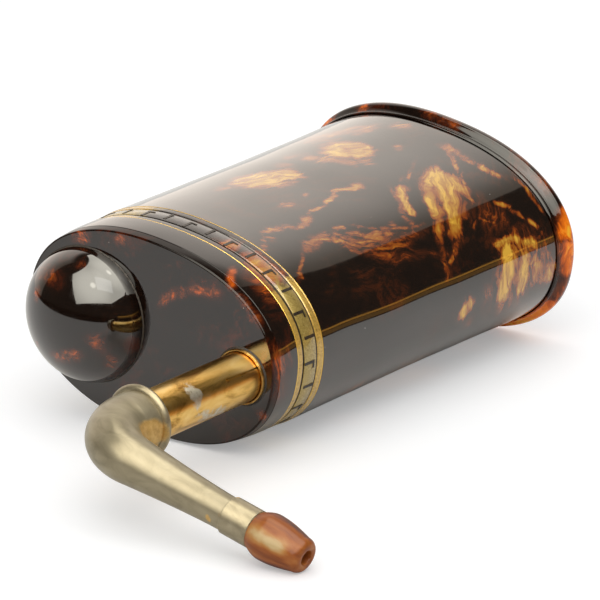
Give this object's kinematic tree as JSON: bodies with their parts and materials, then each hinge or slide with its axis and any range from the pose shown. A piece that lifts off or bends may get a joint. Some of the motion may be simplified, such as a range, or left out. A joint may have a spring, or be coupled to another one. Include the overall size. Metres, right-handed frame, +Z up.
{
  "type": "ear trumpet",
  "caption": "Oval tapered hearing trumpet with a domed closed end, a gilt band, a telescopic brass ear tube, a swivelling tapered elbow and a turned ear tip.",
  "frame": {"origin": "on the table, under the middle of the object's box, as it lies at rest", "axes": "+Z up, +Y along the body towards the open mouth, +X towards the ear tip, -X the side of the dome"},
  "size_m": [0.1569, 0.2235, 0.066],
  "materials": {
    "tortoiseshell": "polished imitation tortoiseshell, near black with amber and orange flames",
    "tortoiseshell_dark": "polished dark tortoiseshell with a few red-orange flecks",
    "black_ground": "dark inlay",
    "gilt_strip": "dull olive gilt, finely mottled",
    "gold_wire": "bright gilt wire",
    "polished_brass": "polished brass with brown tarnish",
    "tarnished_brass": "aged brass",
    "worn_nickel": "satin worn nickel plate over brass",
    "horn": "polished honey-brown horn with cream streaks",
    "leather": "plain leather washer"
  },
  "bodies": {
    "case": {"body_shell": "tortoiseshell", "mouth_rim": "tortoiseshell", "cap_wall": "tortoiseshell_dark", "end_plate": "tortoiseshell_dark", "joint_ring": "tortoiseshell_dark", "dome": "tortoiseshell_dark", "band_ground": "black_ground", "band_strip": "gilt_strip", "band_wire_near": "gold_wire", "band_wire_far": "gold_wire", "band_ticks": "black_ground", "guide_sleeve": "tarnished_brass", "sleeve_washer": "leather", "lock_ring": "tarnished_brass"},
    "tube": {"slide_tube": "polished_brass", "tube_lip": "tarnished_brass"},
    "elbow": {"elbow": "worn_nickel", "elbow_bead": "worn_nickel", "elbow_bush": "tarnished_brass", "spigot": "tarnished_brass"},
    "nozzle": {"ferrule": "worn_nickel", "ear_tip": "horn"}
  },
  "joints": [
    {"name": "tube_slide", "type": "slide", "parent": "case", "child": "tube", "axis": [0, 0.9999, 0.0144], "range_m": [-0.0019, 0.045]},
    {"name": "elbow_swivel", "type": "hinge", "parent": "tube", "child": "elbow", "pos_m": [0.00468, -0.08769, 0.0246], "axis": [0, 0.9999, 0.0144], "continuous": true},
    {"name": "nozzle_pull", "type": "slide", "parent": "elbow", "child": "nozzle", "axis": [0.965, 0.0038, -0.2623], "range_m": [0, 0.005]}
  ]
}
